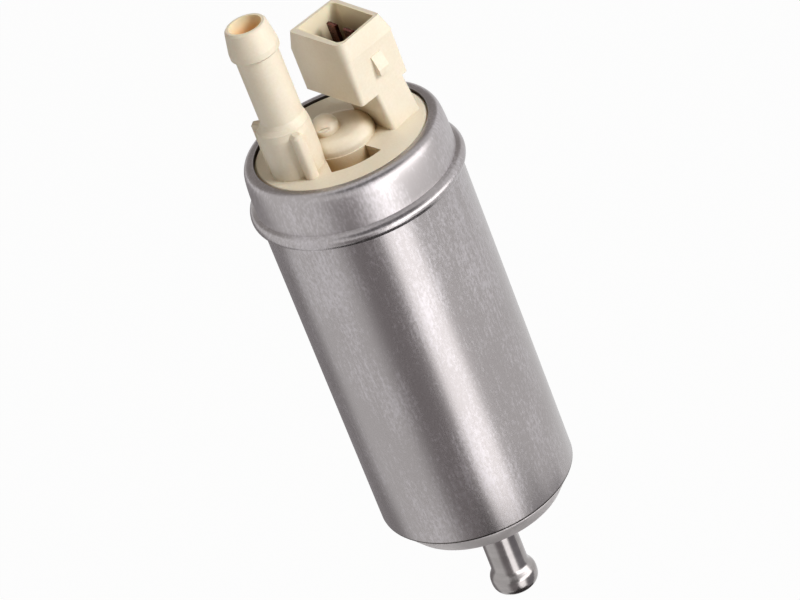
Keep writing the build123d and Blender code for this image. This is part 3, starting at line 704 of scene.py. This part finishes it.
def wound_wire_tree():
    """Round wire wound about an upright line. Its end turns lie nearly flat."""
    tree = bpy.data.node_groups.new("wound_wire", "GeometryNodeTree")
    for label, kind, value in (
        ("Coil Radius", "NodeSocketFloat", 0.0018),
        ("Wire Radius", "NodeSocketFloat", 0.0003),
        ("Height", "NodeSocketFloat", 0.007),
        ("Turns", "NodeSocketFloat", 6.0),
        ("End Turns", "NodeSocketFloat", 0.75),
        ("Foot", "NodeSocketVector", (0, 0, 0)),
    ):
        socket = tree.interface.new_socket(label, in_out="INPUT", socket_type=kind)
        socket.default_value = value
    tree.interface.new_socket("Geometry", in_out="OUTPUT", socket_type="NodeSocketGeometry")
    given = tree.nodes.new("NodeGroupInput").outputs

    spiral = tree.nodes.new("GeometryNodeCurveSpiral")
    feed(tree, spiral.inputs["Resolution"], steps_per_turn)
    feed(tree, spiral.inputs["Rotations"], given["Turns"])
    feed(tree, spiral.inputs["Start Radius"], given["Coil Radius"])
    feed(tree, spiral.inputs["End Radius"], given["Coil Radius"])
    feed(tree, spiral.inputs["Height"], 0.0)

    # Each turn rises by a closed turn's height, and the room that is left goes to the middle turns
    along = tree.nodes.new("GeometryNodeSplineParameter").outputs["Factor"]
    wire_across = math_node(tree, "MULTIPLY", given["Wire Radius"], wire_pitch)
    closed = math_node(tree, "MULTIPLY", wire_across, given["Turns"])
    room = math_node(tree, "SUBTRACT", given["Height"], wire_across)
    room = math_node(tree, "SUBTRACT", room, closed)
    flat = math_node(tree, "DIVIDE", given["End Turns"], given["Turns"])
    rise = ramp(tree, along, flat, math_node(tree, "SUBTRACT", 1.0, flat), "LINEAR")
    lift = math_node(tree, "MULTIPLY", closed, along)
    lift = math_node(tree, "ADD", lift, math_node(tree, "MULTIPLY", room, rise))
    lift = math_node(tree, "ADD", lift, given["Wire Radius"])
    upward = tree.nodes.new("ShaderNodeCombineXYZ")
    feed(tree, upward.inputs[2], lift)
    placed = tree.nodes.new("GeometryNodeSetPosition")
    feed(tree, placed.inputs["Geometry"], spiral.outputs[0])
    feed(tree, placed.inputs["Offset"], vector_node(tree, "ADD", upward.outputs[0], given["Foot"]))

    ring = tree.nodes.new("GeometryNodeCurvePrimitiveCircle")
    feed(tree, ring.inputs["Resolution"], wire_sides)
    feed(tree, ring.inputs["Radius"], given["Wire Radius"])
    wire = tree.nodes.new("GeometryNodeCurveToMesh")
    wire.inputs["Fill Caps"].default_value = True
    feed(tree, wire.inputs["Curve"], placed.outputs[0])
    feed(tree, wire.inputs["Profile Curve"], ring.outputs[0])
    smooth = tree.nodes.new("GeometryNodeSetShadeSmooth")
    feed(tree, smooth.inputs["Geometry"], wire.outputs[0])
    real = tree.nodes.new("GeometryNodeRealizeInstances")
    feed(tree, real.inputs["Geometry"], smooth.outputs[0])
    feed(tree, tree.nodes.new("NodeGroupOutput").inputs["Geometry"], real.outputs[0])
    return tree


wound_wire = wound_wire_tree()


def grown_piece(name, tree, values, slot):
    """Piece that keeps the plain mesh of a tree with the given inputs."""
    piece = bpy.data.objects.new(name, bpy.data.meshes.new(name + "_seed"))
    scene.collection.objects.link(piece)
    modifier = piece.modifiers.new("growth", "NODES")
    modifier.node_group = tree
    names = {item.name: item.identifier for item in tree.interface.items_tree if item.in_out == "INPUT"}
    for label, value in values.items():
        modifier[names[label]] = value
    bpy.context.view_layer.update()
    grown = piece.evaluated_get(bpy.context.evaluated_depsgraph_get())
    mesh = bpy.data.meshes.new_from_object(grown)
    piece.modifiers.remove(modifier)
    piece.data = mesh
    mesh.name = name
    mesh.materials.clear()
    mesh.materials.append(materials[slot])
    return piece


def wound_piece(name, replaced, axis, low, top, coil_r, wire_r, turns, end_turns, slot):
    """Spring or coil on an upright axis between two heights, in millimetres, for its solid."""
    values = {
        "Coil Radius": coil_r / 1000,
        "Wire Radius": wire_r / 1000,
        "Height": (top - low) / 1000,
        "Turns": float(turns),
        "End Turns": float(end_turns),
        "Foot": (axis[0] / 1000, axis[1] / 1000, low / 1000),
    }
    piece = grown_piece(name, wound_wire, values, slot)
    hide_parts(replaced)
    return piece


def build_spring(name, replaced, axis, low, top, coil_r, wire_r, turns):
    """Spring of spring steel on an upright axis, its placing baked into its mesh."""
    spring = wound_piece(name, replaced, axis, low, top, coil_r, wire_r, turns, spring_end_turns,
                         "spring_steel")
    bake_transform(spring)


def build_wound_pieces():
    for side, axis in brush_axes.items():
        build_spring(f"brush_spring_wire_{side}", f"brush_spring_{side}", axis, low=30.4, top=35.6,
                     coil_r=1.75, wire_r=0.25, turns=4.5)
    build_spring("valve_spring_wire", "valve_spring", valve_axis, low=39.2, top=46.2,
                 coil_r=1.9, wire_r=0.25, turns=5.5)
    build_spring("relief_spring_wire", "relief_spring", relief_axis, low=-40.0, top=-34.75,
                 coil_r=1.5, wire_r=0.22, turns=4.5)
    for side, axis in choke_axes.items():
        solid = f"choke_coil_{side}"
        low, top = (corner.z * 1000 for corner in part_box(solid))
        coil = wound_piece(f"choke_wire_{side}", solid, axis, low, top, coil_r=1.85, wire_r=0.32,
                           turns=6, end_turns=0.5, slot="winding_copper")
        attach(coil, "housing")


build_wound_pieces()


# Every solid gets the finish of its own material
slot_of = {part["node"]: part["material_slot"] for part in frame["record"]["subparts"]}
for node_name, node in frame["nodes"].items():
    node.data.materials.clear()
    node.data.materials.append(materials[slot_of[node_name]])
